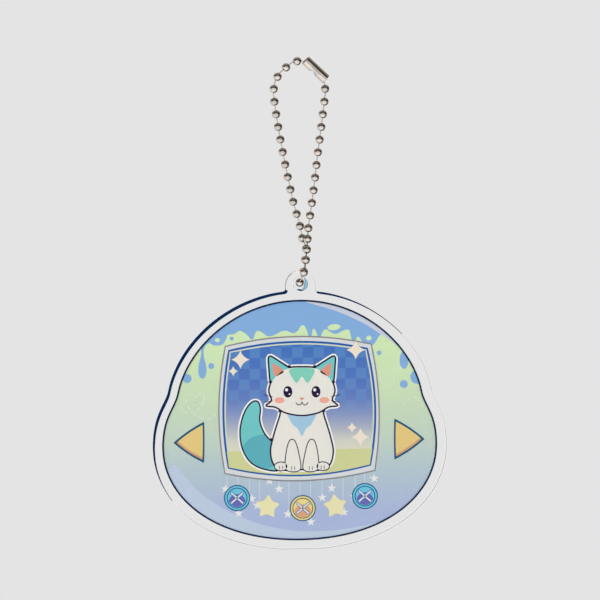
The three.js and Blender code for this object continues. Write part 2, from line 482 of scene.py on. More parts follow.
def build_base():
    """The toy's drawn body: colour fades, the dripping top, highlights and the dark outline."""
    body = ink(
        "body_fade",
        None,
        [
            (-31, (168, 182, 217)), (-24, (168, 182, 217)), (-13, (178, 197, 205)), (-5.2, (190, 208, 194)),
            (5.2, (197, 218, 184)), (19.6, (205, 229, 180)), (31, (207, 231, 181)),
        ],
    )
    printed("body_fade", [OUTLINE], 1, body)
    sky = ink("top_blue", (131, 172, 219))
    inside = offset(OUTLINE, 0.12)
    rim = [p for p in inside if p.y > DRIP_FOOT["left" if p.x < 0 else "right"]]
    rim.sort(key=lambda p: math.atan2(p.y + 10, p.x))
    drips = [
        (-25.34, 18.53), (-24.66, 19.78), (-23.8, 20.1), (-22.84, 19.57), (-21.79, 19.5),
        (-20.75, 19.68), (-20.07, 20.18), (-19.5, 21.25), (-19.18, 22.19), (-18.53, 22.37),
        (-17.49, 22.45), (-16.57, 23.07), (-15.97, 23.33), (-14.88, 22.92), (-13.7, 21.92),
        (-13.18, 21.27), (-12.45, 21.27), (-11.88, 22.81), (-11.22, 23.33), (-10.18, 22.97), (-9, 22.08),
        (-7.83, 21.92), (-6.39, 22.5), (-5.09, 23.18), (-3.78, 23.33), (-2.74, 22.92), (-1.83, 22.71),
        (-0.78, 23.39), (0, 24.59), (0.78, 24.74), (1.57, 23.49), (2.11, 21.79), (2.74, 21.79),
        (3.05, 23.59), (3.52, 23.86), (4.1, 22.86), (4.46, 21.79), (5.09, 21.79), (5.77, 23.18),
        (6.53, 23.75), (7.44, 23.18), (8.67, 22.55), (9.92, 22.76), (11.09, 23.39), (12.55, 23.59),
        (13.02, 22.32), (13.49, 20.49), (14.22, 20.49), (14.59, 21.56), (15.16, 21.72), (15.92, 20.72),
        (17.1, 19.73), (18.66, 19.57), (19.55, 20.36), (20.28, 21.66), (21, 22.4), (21.9, 23.3),
        (22.6, 24),
    ]
    wave = clip_inside(smooth(drips, closed=False, steps=4))
    holes = [
        ellipse((-21.79, 20.93), 0.66, 0.56),
        ellipse((8.67, 24.27), 1.72, 0.8, 0.12),
        ellipse((17.8, 21.43), 0.72, 0.64),
    ]
    printed("top_blue", [[wave + rim] + holes], 2, sky)

    drop = smooth([
        (-26.07, 20.62), (-25.29, 20.62), (-25.4, 18.79), (-25.34, 16.7), (-24.85, 14.75),
        (-24.66, 12.79), (-25.03, 11.38), (-25.71, 10.88), (-26.39, 11.38), (-26.75, 12.79),
        (-26.57, 14.75), (-26.07, 16.7), (-26, 18.79),
    ])
    drops = [clip_inside(drop)]
    for centre, rx, ry, steps, at_rim in (
        ((-23.41, 14.17), 0.76, 0.76, 28, False), ((-29.7, 10.94), 1.15, 1.15, 40, True),
        ((-18.06, 21.32), 0.52, 0.52, 28, False), ((20.49, 17.54), 0.6, 0.6, 28, False),
        ((27.01, 9.34), 1.02, 1.02, 28, False), ((27.07, 15.66), 1.15, 2.3, 28, True),
        ((30.54, 11.22), 1.8, 1.8, 40, True),
    ):
        spot = ellipse(centre, rx, ry, steps=steps)
        drops.append(clip_inside(spot) if at_rim else spot)
    printed("blue_drops", drops, 3, sky)

    shine = ink("highlight", (196, 203, 219))
    outer = [p for p in offset(OUTLINE, 0.2) if p.x > 0.5 and p.y > 19.4]
    outer.sort(key=lambda p: p.x)
    inner = smooth([
        (26, 18.9), (23.2, 21), (20.8, 22.5), (16.6, 25.15), (9.46, 28.4), (0.45, 31),
    ], closed=False)
    printed("top_highlight", [outer + inner[1:-1]], 4, shine)

    low = ink("rim_light", (186, 201, 222))
    rim = [p for p in offset(OUTLINE, 0.12) if p.y < -12.6 and p.x < 21]
    rim.sort(key=lambda p: math.atan2(p.y, p.x))
    inner = smooth([
        (20.23, -26.94), (12.92, -28.45), (6.39, -29.08), (-0.39, -29.08), (-7.44, -28.08),
        (-14.22, -26), (-20.75, -22.81), (-26.75, -18.53), (-31.19, -13.47), (-33.15, -10.96),
    ], closed=False)
    printed("rim_light", [rim + inner[1:-1]], 2, low)
    printed("outline", [band(offset(OUTLINE, 0.22), 0.46, closed=True)], 15, ink("navy", NAVY))


def clip_inside(points, margin=0.1):
    """The points, pulled in to the print's outline where they pass it."""
    inside = offset(OUTLINE, margin)
    angles = [math.atan2(p.y, p.x) for p in inside]
    order = sorted(range(len(inside)), key=lambda i: angles[i])
    angles = [angles[i] for i in order]
    out = []
    for p in points:
        i = bisect.bisect(angles, math.atan2(p.y, p.x)) % len(order)
        a, b = inside[order[i - 1]], inside[order[i]]
        side = b - a
        reach = side.cross(a) / side.cross(p) if abs(side.cross(p)) > 1e-9 else 1
        out.append(p * min(1, reach))
    return out


def build_curves():
    """Thin pale looping lines either side of the screen."""
    pale = ink("pale_line", (218, 227, 215))
    left = smooth([
        (-22.45, 1.57), (-23.88, 0.39), (-26.49, 0.78), (-28.68, 2.51), (-29.88, 4.54), (-29.78, 6.21),
        (-28.58, 6.89), (-27.54, 5.85), (-27.69, 4.18), (-27.38, 6), (-26.23, 7.05), (-25.34, 6.37),
        (-25.45, 4.7), (-26.65, 2.98), (-28.84, 2.09), (-30.77, 2.51), (-31.97, 4.18),
    ], closed=False, steps=5)
    right = smooth([
        (20.85, 10.6), (22.32, 8.98), (23.88, 9.13), (24.51, 10.7), (23.88, 12.11), (24.3, 13.05),
        (25.45, 13.42), (27.12, 13.68),
    ], closed=False, steps=5)
    far = smooth([
        (27.01, 4.18), (28.32, 5.48), (30.15, 5.64), (31.45, 4.54), (32.49, 2.61),
    ], closed=False, steps=5)
    dashes = []
    for line in (left, right, far):
        for i in range(0, len(line) - 3, 4):
            dashes.append(band(line[i : i + 3], 0.24))
    printed("pale_curves", dashes, 2, pale)


def build_arrows():
    """The arrows left and right of the screen."""
    gold, brown = ink("arrow_gold", (224, 198, 128)), ink("arrow_brown", (208, 155, 118))
    shapes = []
    for tip, top, foot in (
        ((-33.05, -5.85), (-25.4, -0.57), (-25.45, -10.91)),
        ((32.3, -5.06), (24.65, 0.1), (24.7, -10.23)),
    ):
        ring = turned(bowed([tip, foot, top] if tip[0] < 0 else [tip, top, foot], [0.32, 0.12, 0.32]))
        shapes.append((ring, (V2(tip) + V2(foot) + V2(top)) / 3))
    printed("arrow_outlines", [scaled(s, 1.04, c) for s, c in shapes], 5, ink("teal_line", (22, 88, 122)))
    printed("arrow_shades", [scaled(s, 0.88, c) for s, c in shapes], 6, brown)
    printed("arrow_faces", [shape_above(scaled(s, 0.88, c), 0.62) for s, c in shapes], 7, gold)


def shape_above(points, lift):
    """The part of a convex ring that is also inside a copy of it raised by lift."""
    ring = turned(points)
    return clip_ring(ring, [p + Vector((0, lift)) for p in ring])


def clip_ring(ring, window):
    """A ring cut by a convex window."""
    out = turned(ring)
    window = turned(window)
    for i, a in enumerate(window):
        edge = window[(i + 1) % len(window)] - a
        if edge.length < 1e-9:
            continue
        kept = []
        for j, p in enumerate(out):
            q = out[(j + 1) % len(out)]
            sp, sq = edge.cross(p - a), edge.cross(q - a)
            if sp >= 0:
                kept.append(p)
            if (sp >= 0) != (sq >= 0):
                kept.append(p + (q - p) * (sp / (sp - sq)))
        out = kept
    return out


def build_buttons():
    """Three round buttons with crossed bars."""
    line = ink("button_line", (30, 92, 128))
    blue, deep = ink("button_blue", (110, 193, 221)), ink("button_violet", (104, 104, 180))
    yellow, orange = ink("button_yellow", (232, 213, 132)), ink("button_orange", (219, 162, 122))
    bar_line, bars = ink("bar_line", (52, 96, 140)), ink("bar", (216, 222, 235))
    side = [(-16.7, -20.36), (16.83, -20.02)]
    middle = [(0.5, -23.12)]
    both = side + middle
    printed("button_outlines", [ellipse(c, 3.42, steps=48) for c in both], 5, line)
    for suffix, centres, face, low in (("blue", side, blue, deep), ("yellow", middle, yellow, orange)):
        printed(f"button_rims_{suffix}", [ellipse(c, 3.14, steps=48) for c in centres], 6, face)
        printed(f"button_faces_{suffix}", [ellipse(c, 2.48, steps=40) for c in centres], 8, face)
        shades = [scaled(ellipse(c, 2.48, steps=40), 0.92, (c[0], c[1] - 0.9)) for c in centres]
        printed(f"button_shades_{suffix}", [shape_above(ring, -1.2) for ring in shades], 9, low)
    rings = [[ellipse(c, r, steps=44) for r in (2.72, 2.46)] for c in both]
    printed("button_rings", rings, 7, line)
    outlines, fills = [], []
    for c in both:
        for turn in (0.72, -0.72):
            tip = Vector((math.cos(turn), math.sin(turn))) * 1.95
            ends = [V2(c) - tip, V2(c) + tip]
            outlines.append(band(ends, 0.72))
            fills.append(band(ends, 0.42))
    printed("bar_outlines", outlines, 10, bar_line)
    printed("bars", fills, 11, bars)


def build_stars():
    """Hanging strings, small grey stars and two yellow ones."""
    pale = ink("star_pale", (226, 228, 228))
    string = ink("string", (208, 217, 222))
    feet = [
        (-19.31, -18.01), (-16.42, -17.23), (-13.52, -20.88), (-10.78, -20.88), (-5.72, -18.01),
        (-3.13, -24.53), (-0.23, -19.84), (2.53, -26.62), (5.56, -20.10), (8.09, -17.75),
        (11.09, -24.01), (14.28, -20.88), (16.73, -16.70), (19.24, -15.40),
    ]
    lines = [band([(x, STRING_TOP), (x, foot)], 0.17) for x, foot in feet]
    printed("strings", lines, 3, string)
    small = [
        (-19.76, -18.01), (-8.22, -15.87), (-5.72, -18.06), (-12.87, -20.51), (-11.41, -22.29),
        (-16.31, -24.4), (-3.42, -24.66), (2.66, -26.75), (5.61, -20.36), (8.12, -17.9), (11.35, -24.22),
        (19.29, -15.4), (13.96, -20.23),
    ]
    stars = [star(c, 1.3, 0.4, turn=0.06 * (i % 3 - 1)) for i, c in enumerate(small)]
    printed("small_stars", stars, 4, pale)
    yellow = ink("star_yellow", (229, 224, 178))
    big = [
        star(centre, 3.4, 0.55, turn=turn, rounding=0.2)
        for centre, turn in (((-8.69, -22.71), -0.08), ((9.06, -22.6), 0.12))
    ]
    printed("yellow_stars", big, 5, yellow)


def build_screen():
    """The framed screen: sky with checks and fine stripes, ground, sparkles."""
    corners = [(-19.85, 19.39), (-20, -14.04), (19.55, -13.39), (18.55, 19.96)]
    outer = bowed(corners, [1.66, 2.35, 1.64, 2.34])
    blue = bowed([(-18.96, 18.33), (-19.09, -12.65), (18.4, -12), (17.52, 18.87)], [1.5, 2.42, 1.8, 2.1])
    printed("frame_edge", [outer], 6, ink("frame_edge", (138, 138, 138)))
    printed("frame", [inset(outer, 0.36)], 7, ink("frame", (212, 215, 218)))
    printed("frame_line", [blue], 8, ink("frame_blue", (26, 92, 165)))
    gap = inset(blue, 0.42)
    printed("screen_gap", [gap], 8.5, ink("screen_gap", (64, 108, 178)))
    cream = inset(blue, 0.56)
    printed("screen_edge", [cream], 9, ink("screen_edge", (214, 215, 190)))
    screen = inset(cream, 0.36)
    sky_stops = [
        (-8, (214, 214, 192)), (-5.4, (203, 206, 194)), (-2.2, (170, 176, 192)), (1.5, (134, 148, 190)),
        (5.5, (98, 126, 188)), (10, (84, 116, 186)), (21, (64, 112, 184)),
    ]
    low_stops = [(h + CENTRE[1], c) for h, c in sky_stops]
    printed("sky", [screen], 10, sky_ink(low_stops))
    ground = [p for p in inset(blue, 0.42) if p.y < GROUND_LINE]
    ground.sort(key=lambda p: -math.atan2(p.x, -(p.y + 2)))
    printed("ground", [ground], 11, ink("ground", (204, 208, 150)))
    cream_ink = ink("sparkle", (233, 223, 205))
    marks = [((-15.8, 15.84), 2.42, 2.4), ((-17.68, 12.83), 1.22, 1.35), ((14.36, 18.34), 2.45, 2.5),
             ((13.39, -1.98), 1.36, 1.42), ((15.61, -4.52), 2.35, 2.42)]
    printed("sparkles", [sparkle(c, w, h) for c, w, h in marks], 12, cream_ink)


def sky_ink(stops):
    """The sky's fade, with soft checks and fine slanted stripes that die out downwards."""
    material = bpy.data.materials.new("ink_sky")
    n = Nodes(material)
    low, high = stops[0][0] * MM, stops[-1][0] * MM
    height = n.axis("Z")
    fade = n.map(height, low, high)
    colour = n.ramp(fade, [((h * MM - low) / (high - low), linear(c)) for h, c in stops])
    x = n.maths("DIVIDE", n.maths("ADD", n.axis("X"), (CHECK_CORNER[0] - CENTRE[0]) * MM), CHECK_SIZE)
    z = n.maths("DIVIDE", n.maths("ADD", height, (CHECK_CORNER[1] - CENTRE[1]) * MM), CHECK_SIZE)
    cells = n.maths("ADD", n.maths("FLOOR", x), n.maths("FLOOR", z))
    check = n.maths("MODULO", n.maths("ADD", cells, 1000.0), 2.0)
    slant = n.maths("FRACT", n.maths("DIVIDE", n.maths("SUBTRACT", n.axis("X"), height), STRIPE_PITCH))
    stripe = n.map(slant, 0.3, 0.7)
    strength = n.map(height, (CENTRE[1] - 3) * MM, (CENTRE[1] + 10) * MM)
    striped = n.maths("MULTIPLY", n.maths("MULTIPLY", check, stripe), STRIPE_LIFT)
    pattern = n.maths("ADD", n.maths("MULTIPLY", check, CHECK_LIFT), striped)
    lift = n.maths("MULTIPLY", pattern, strength)
    colour = n.mix(lift, colour, linear((120, 178, 210)))
    n.flat_ink(colour)
    return material


def build_pet():
    """A seated kitten, drawn as an outlined sticker, from its tail at the back to its face."""
    white, dark = ink("pet_border", (240, 240, 238)), ink("pet_line", (36, 28, 62))
    cream, teal = ink("pet_cream", (228, 226, 218)), ink("pet_teal", (112, 196, 196))
    head = smooth([
        (0.26, 13.96), (4.57, 13.47), (7.7, 10.96), (8.9, 7.83), (8.22, 5.22), (9.63, 3.81),
        (7.18, 3.39), (4.57, 1.93), (0.26, 1.2), (-4.05, 1.93), (-6.66, 3.39), (-9.11, 3.81),
        (-7.7, 5.22), (-8.38, 7.83), (-7.18, 10.96), (-4.05, 13.47),
    ])
    ear = rounded([(-8.06, 9.4), (-8.64, 17.33), (-1.85, 12.95)], 1.6)
    ears = [ear, mirrored(ear, PET_MIDDLE)]
    body = smooth([
        (-4.31, 4.18), (0.26, 5.22), (4.83, 4.18), (6.24, 0.52), (7.7, -4.18), (8.48, -8.35),
        (7.44, -11.9), (4.57, -13.15), (0.26, -12.95), (-4.05, -13.15), (-6.92, -11.9), (-7.96, -8.35),
        (-7.18, -4.18), (-5.72, 0.52),
    ])
    tail = smooth([
        (-5.35, -12.63), (-9, -12.95), (-13.02, -11.12), (-15.32, -7.31), (-15.89, -2.61),
        (-14.85, 1.83), (-12.97, 4.59), (-11.3, 4.85), (-10.62, 2.98), (-10.78, 0), (-9.79, -3.03),
        (-7.8, -5.38), (-4.83, -6.79),
    ])
    outlines = ears + [head, body, tail]
    printed("pet_border", [inset(s, -0.62) for s in outlines], 12, white)
    printed("pet_tail_line", [inset(tail, -0.22)], 13, dark)
    printed("pet_tail", [inset(tail, 0.18)], 13.5, teal)
    printed("pet_tail_shade", [tail_low(tail)], 14, ink("pet_teal_deep", (92, 172, 184)))
    printed("pet_body_line", [inset(body, -0.22)], 14.5, dark)
    printed("pet_body", [inset(body, 0.2)], 15, cream)
    legs = [smooth([
        (-3.78, -13.05), (-3.94, -9.13), (-3, -5.48), (-1.59, -5.48), (-0.5, -9.13), (-0.23, -13.05),
    ])]
    legs.append(mirrored(legs[0], PET_MIDDLE))
    feet = [ellipse((-5.19, -12.11), 1.75, 1.12), ellipse((5.72, -12.11), 1.75, 1.12)]
    chest = smooth([
        (-3.52, 2.09), (0.26, 0.89), (4.05, 2.09), (2.74, -1.04), (1.28, -2.35), (0.29, -4.18),
        (-0.76, -2.35), (-2.22, -1.04),
    ])
    printed("pet_chest_shade", [chest], 15.5, ink("pet_shade", (160, 196, 222)))
    printed("pet_leg_lines", [inset(s, -0.16) for s in legs + feet], 15.5, dark)
    printed("pet_legs", [inset(s, 0.1) for s in legs + feet], 16, cream)
    toes = []
    for c in ((-2.06, -12.42), (2.58, -12.42), (-5.19, -12.27), (5.72, -12.27)):
        for dx in (-0.42, 0.42):
            toes.append(band([(c[0] + dx, c[1] - 0.55), (c[0] + dx * 0.9, c[1] + 0.25)], 0.16))
    printed("pet_toes", toes, 17, dark)
    printed("pet_head_lines", [inset(s, -0.22) for s in ears + [head]], 16.5, dark)
    printed("pet_ears", [inset(s, 0.2) for s in ears], 17.3, teal)
    build_pet_face(head, white, dark, cream)


def build_pet_face(head, white, dark, cream):
    """The head, with the ears' insides, the patch on the brow, eyes, cheeks, nose, mouth and whiskers."""
    coral = ink("pet_coral", (219, 148, 128))
    ear_in = rounded([(-7.07, 11.12), (-7.6, 15.35), (-4.05, 12.68)], 1.1)
    printed("pet_ears_inside", [ear_in, mirrored(ear_in, PET_MIDDLE)], 18, coral)
    printed("pet_head", [inset(head, 0.2)], 18, cream)
    patch = smooth([
        (-3, 13.21), (0.26, 13.73), (3.52, 13.21), (2.74, 10.96), (1.54, 9.76), (0.26, 11.38),
        (-1.02, 9.76), (-2.22, 10.96),
    ])
    printed("pet_patch", [patch], 19, ink("pet_mint", (128, 205, 184)))
    eyes = ((-3.42, 7.41), (3.94, 7.41))
    printed("pet_eyes", [ellipse(c, 1.18, 1.5) for c in eyes], 19, dark)
    glints = [ellipse((x - 0.34, z + 0.52), 0.4) for x, z in eyes]
    glints += [ellipse((x + 0.42, z - 0.6), 0.2) for x, z in eyes]
    printed("pet_glints", glints, 20, white)
    cheeks = [ellipse((x, 5.22), 1.3, 0.78) for x in (-5.61, 6.13)]
    printed("pet_cheeks", cheeks, 19, ink("pet_blush", (236, 166, 150)))
    nose = rounded([(-0.44, 5.9), (0.26, 5.06), (0.97, 5.9)], 0.3)
    printed("pet_nose", [nose], 20, coral)
    mouth = [
        (-1.28, 4.54), (-0.76, 4.02), (-0.13, 4.07), (0.26, 4.7), (0.65, 4.07), (1.28, 4.02),
        (1.8, 4.54),
    ]
    whiskers = [
        [(-7.44, 6.11), (-9.68, 6.63)], [(-7.44, 5.06), (-9.58, 4.7)],
        [(7.96, 6.11), (10.21, 6.63)], [(7.96, 5.06), (10.1, 4.7)],
    ]
    lines = [band(smooth(mouth, closed=False, steps=4), 0.22)] + [band(w, 0.15) for w in whiskers]
    printed("pet_mouth", lines, 20, dark)


def tail_low(tail):
    """The lower part of the tail, in shade."""
    low = shape_above(ellipse((-10.05, -8.35), 5.6, 4.6, 0.2), 0)
    return clip_ring(inset(tail, 0.2), low)


# ---------------------------------------------------------------- the slab
TAB_RADIUS = 3.9
TAB_Z = SLAB[1].z / MM - TAB_RADIUS  # the height of the middle of the tab's round end
HOLE_CENTRE = Vector((0.0, TAB_Z + 0.45))
HOLE_RADIUS = 1.87
TAB_FILLET = 0.55  # eases the corners where the tab leaves the body
EDGE_EASE = 0.07  # the polished arris


def slab_contour():
    """The slab's outline and its hole, in mm (x, z) of the frame, eased where the tab starts."""
    mesh = frame["nodes"]["clear_acrylic_slab"].data
    front = min(v.co.y for v in mesh.vertices)
    pts = {(round(v.co.x / MM, 3), round(v.co.z / MM, 3)) for v in mesh.vertices if v.co.y < front + 1e-6}
    middle = Vector(CENTRE)
    body = []
    for x, z in pts:
        p = Vector((x, z))
        in_hole = (p - HOLE_CENTRE).length < HOLE_RADIUS + 0.2
        on_tab = abs(x) < TAB_RADIUS + 0.05 and z > TAB_Z - 5
        if not in_hole and not on_tab:
            body.append(p)
    body.sort(key=lambda p: math.atan2((p - middle).y, (p - middle).x))
    turn = next(i for i, p in enumerate(body) if p.x < 0 and p.y > middle.y)
    body = body[turn:] + body[:turn]
    base_z = max(z for x, z in pts if abs(x - TAB_RADIUS) < 0.01 and z < TAB_Z - 0.5)
    left, right = Vector((-TAB_RADIUS, base_z)), Vector((TAB_RADIUS, base_z))
    curve = smooth([left] + body + [right], closed=False, steps=4)
    curve = [p for p in curve if abs(p.x) > TAB_RADIUS + 0.5]
    rise = Vector((0, TAB_FILLET))
    out = curve + quad(curve[-1], right, right + rise, 5)[1:]
    for i in range(41):
        a = math.pi * i / 40
        out.append(Vector((TAB_RADIUS * math.cos(a), TAB_Z + TAB_RADIUS * math.sin(a))))
    out += quad(left + rise, left, curve[0], 5)[:-1]
    hole = [p + HOLE_CENTRE for p in ellipse((0, 0), HOLE_RADIUS, steps=56)]
    return turned(out), turned(hole)


def quad(a, b, c, steps):
    """A quadratic curve from a to c that leaves and ends along its corner b."""
    ts = [i / steps for i in range(steps + 1)]
    return [a * (1 - t) ** 2 + b * 2 * t * (1 - t) + c * t * t for t in ts]


def build_slab():
    """The clear slab: polished faces, a flame-bright cut edge and eased arrises."""
    contour, hole = slab_contour()
    front, back = SLAB[0].y / MM, SLAB[1].y / MM
    bm = bmesh.new()
    profile = [(front, EDGE_EASE), (front + EDGE_EASE * 0.3, EDGE_EASE * 0.3), (front + EDGE_EASE, 0.0),
               (back - EDGE_EASE, 0.0), (back - EDGE_EASE * 0.3, EDGE_EASE * 0.3), (back, EDGE_EASE)]
    loops = []
    for ring, sign in ((contour, 1), (hole, -1)):
        rows = []
        for y, inset in profile:
            moved = offset(ring, inset * sign)
            rows.append([bm.verts.new((p.x * MM, y * MM, p.y * MM)) for p in moved])
        for upper, lower in zip(rows, rows[1:]):
            count = len(ring)
            for i in range(count):
                j = (i + 1) % count
                quad_verts = (upper[j], upper[i], lower[i], lower[j])
                bm.faces.new(quad_verts if sign > 0 else quad_verts[::-1])
        loops.append(rows)
    for side, flip in ((0, False), (-1, True)):
        rings = [[Vector((v.co.x, v.co.z, 0)) for v in rows[side]] for rows in loops]
        verts = [v for rows in loops for v in rows[side]]
        for a, b, c in tessellate_polygon(rings):
            va, vb, vc = verts[a], verts[b], verts[c]
            normal = (vb.co - va.co).cross(vc.co - va.co)
            if (normal.y < 0) == flip:
                vb, vc = vc, vb
            bm.faces.new((va, vb, vc))
    mesh = mesh_of(bm, "clear_slab")
    obj = link(mesh, "clear_slab", clear_acrylic(), 12)
    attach(obj, "charm")
    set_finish(obj, "clear_acrylic")
    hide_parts("clear_acrylic_slab")
    obj.visible_shadow = False
    obj.visible_diffuse = False
    return contour, hole


# Painted reflection: a navy strip on the slab's cut edge stands in for the print's dark outline seen
# through the edge.
PAINTED_REFLECTION_SIDE = Vector((-0.65, 0.76))  # the painted reflection is strongest on the edge that faces this way
PAINTED_REFLECTION_LIP = 0.42  # how much further it creeps over the front face there
PAINTED_REFLECTION_LIP_LEAST = 0.1
PAINTED_REFLECTION_STAND = 0.003  # the painted reflection strip's gap in front of the face; all of these are in mm
PAINTED_REFLECTION_FRONT = 0.011
PAINTED_REFLECTION_SKIN = 0.014  # how far its outside stands off the cut edge
PAINTED_REFLECTION_END = 0.25  # and how far from the back it stops


def build_painted_edge_reflection(contour):
    """Painted reflection: the dark line that the cut edge shows round its upper left side, and thinly at
    the upper right, laid on as a navy strip that stands in for the print's outline seen in the edge.
    """
    front, back = SLAB[0].y / MM, SLAB[1].y / MM
    count = len(contour)
    leans = []
    for i, p in enumerate(contour):
        along = (contour[(i + 1) % count] - contour[i - 1]).normalized()
        on_tab = abs(p.x) < TAB_RADIUS + 0.02 and p.y > TAB_Z - 0.6
        leans.append(0.0 if on_tab else max(0.0, Vector((along.y, -along.x)).dot(PAINTED_REFLECTION_SIDE)))
    runs, run = [], []
    start = next(i for i in range(count) if leans[i] == 0.0)
    for k in range(count + 1):
        i = (start + k) % count
        if leans[i] > 0.03:
            run.append(i)
        elif run:
            runs.append(run)
            run = []
    bm = bmesh.new()
    for run in runs:
        if len(run) < 6:
            continue
        line = [contour[i] for i in run]
        lips = [PAINTED_REFLECTION_LIP_LEAST + min(1.0, leans[i]) * PAINTED_REFLECTION_LIP for i in run]
        skin = offset(line, -PAINTED_REFLECTION_SKIN, False)
        sections = []
        for p, o, lip in zip(line, skin, lips):
            inward = (p - o).normalized()
            face, root = p + inward * lip, p + inward * 0.002
            near, far, end = front - PAINTED_REFLECTION_STAND, front - PAINTED_REFLECTION_FRONT, back - PAINTED_REFLECTION_END
            sections.append([(face, near), (face, far), (o, far), (o, end), (root, end), (root, near)])
        rows = [[bm.verts.new((q.x * MM, y * MM, q.y * MM)) for q, y in section] for section in sections]
        for a, b in zip(rows, rows[1:]):
            for k in range(6):
                bm.faces.new((a[k], a[(k + 1) % 6], b[(k + 1) % 6], b[k]))
        bm.faces.new(rows[0][::-1])
        bm.faces.new(rows[-1])
    bmesh.ops.recalc_face_normals(bm, faces=bm.faces)
    mesh = mesh_of(bm, "painted_edge_reflection")
    # the strip's navy ink is painted reflection, not print, though it takes the print's slot
    obj = link(mesh, "painted_edge_reflection", ink("painted_edge_reflection_navy", (6, 38, 78)), 40)
    obj.visible_shadow = False
    obj.visible_diffuse = False
    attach(obj, "charm")
    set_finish(obj, "colour_print")


def build_painted_hole_reflection():
    """Painted reflections of the print in the hole's wall: the blue it shows on its right side, and navy at
    its foot, laid in as coloured strips.
    """
    front, back = SLAB[0].y / MM, SLAB[1].y / MM
    for name, rgb, middle, spread, depth in (
        ("hole_painted_reflection_blue", (150, 200, 232), -0.15, 1.15, 0.62),
        ("hole_painted_reflection_navy", (30, 74, 120), -1.62, 0.42, 0.3),
    ):
        steps = 20
        outer, inner = [], []
        for i in range(steps + 1):
            t = 2 * i / steps - 1
            ray = Vector((math.cos(middle + spread * t), math.sin(middle + spread * t)))
            outer.append(HOLE_CENTRE + ray * (HOLE_RADIUS - 0.01))
            bulge = depth * math.cos(t * math.pi / 2) ** 0.8
            inner.append(HOLE_CENTRE + ray * (HOLE_RADIUS - 0.012 - bulge))
        bm = bmesh.new()
        rows = []
        for y in (front + 1.2, back - 0.1):
            rows.append([bm.verts.new((p.x * MM, y * MM, p.y * MM)) for p in outer + inner[::-1]])
        count = len(rows[0])
        for i in range(count):
            j = (i + 1) % count
            bm.faces.new((rows[0][i], rows[0][j], rows[1][j], rows[1][i]))
        bm.faces.new(rows[0][::-1])
        bm.faces.new(rows[1])
        bmesh.ops.recalc_face_normals(bm, faces=bm.faces)
        mesh = mesh_of(bm, name)
        # each strip's ink is painted reflection, not print, though it takes the print's slot
        obj = link(mesh, name, ink(name, rgb))
        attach(obj, "charm")
        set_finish(obj, "colour_print")


def build_backing():
    """The white film behind the colours."""
    obj = printed("white_backing", [OUTLINE], 0, ink("white", (244, 244, 241)), thickness=0.01)
    obj["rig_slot"] = "white_backing"
    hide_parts("white_backing_film")
    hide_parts("colour_print_film")


# ---------------------------------------------------------------- the chain
BEAD_RADIUS = 1.1
BEAD_WALL = 0.13
EYE = 0.41  # the radius of a bead's hole
EYE_LIP = 0.07  # how much wider the hole's rolled-in rim starts
WIRE = 0.155
HEAD = 0.44  # the radius of a link's head
HEAD_INSET = 0.25  # from a bead's middle to the middle of each head in it


def lathe(profile, segments=36):
    """A closed surface turned about +Z from (radius, height) points in mm; both ends may be on the axis."""
    bm = bmesh.new()
    rings = []
    for r, h in profile:
        if r < 1e-6:
            rings.append([bm.verts.new((0, 0, h * MM))])
        else:
            turns = [2 * math.pi * i / segments for i in range(segments)]
            ring = [(r * MM * math.cos(a), r * MM * math.sin(a), h * MM) for a in turns]
            rings.append([bm.verts.new(place) for place in ring])
    closed = len(rings[0]) > 1 and len(rings[-1]) > 1
    pairs = list(zip(rings, rings[1:])) + ([(rings[-1], rings[0])] if closed else [])
    for a, b in pairs:
        for i in range(segments):
            j = (i + 1) % segments
            corners = [a[i % len(a)], a[j % len(a)], b[j % len(b)], b[i % len(b)]]
            unique = []
            for v in corners:
                if v not in unique:
                    unique.append(v)
            if len(unique) > 2:
                bm.faces.new(unique)
    bmesh.ops.recalc_face_normals(bm, faces=bm.faces)
    return bm


def bead_mesh():
    """A hollow bead of thin drawn metal with a rolled-in eye at each pole."""
    outer, inner = BEAD_RADIUS, BEAD_RADIUS - BEAD_WALL
    start = math.asin((EYE + EYE_LIP) / outer)
    profile = []
    steps = 18
    for i in range(steps + 1):
        a = start + (math.pi - 2 * start) * i / steps
        flat = 1 - 0.012 * math.exp(-(((a - math.pi / 2) / 0.05) ** 2))
        profile.append((outer * math.sin(a) * flat, -outer * math.cos(a)))
    end_in = math.asin(EYE / inner)
    lip = []
    for t in (0.35, 0.7):
        lip.append((EYE + EYE_LIP * (1 - t) ** 2, outer * math.cos(start) - t * 0.10))
    profile += lip
    for i in range(9):
        a = end_in + (math.pi - 2 * end_in) * i / 8
        profile.append((inner * math.sin(a), inner * math.cos(a)))
    profile += [(r, -h) for r, h in reversed(lip)]
    bm = lathe(profile)
    mesh = mesh_of(bm, "bead")
    mesh.shade_smooth()
    return mesh


def link_mesh(span):
    """A dumb-bell link whose two heads are span apart, centred on its middle, along +Z."""
    half = span / 2
    profile = [(0.0, -half - HEAD)]
    neck = math.asin(WIRE / HEAD)
    for i in range(1, 8):
        a = (math.pi - neck) * i / 7
        profile.append((HEAD * math.sin(a), -half - HEAD * math.cos(a)))
    profile.append((WIRE * 0.94, -half + HEAD + 0.12))
    profile.append((WIRE * 0.94, half - HEAD - 0.12))
    for i in range(7, 0, -1):
        a = (math.pi - neck) * i / 7
        profile.append((HEAD * math.sin(a), half + HEAD * math.cos(a)))
    profile.append((0.0, half + HEAD))
    bm = lathe(profile, 16)
    mesh = mesh_of(bm, "link")
    mesh.shade_smooth()
    return mesh


def point_along(obj, direction, place):
    obj.rotation_mode = "QUATERNION"
    obj.rotation_quaternion = direction.to_track_quat("Z", "X")
    obj.location = place


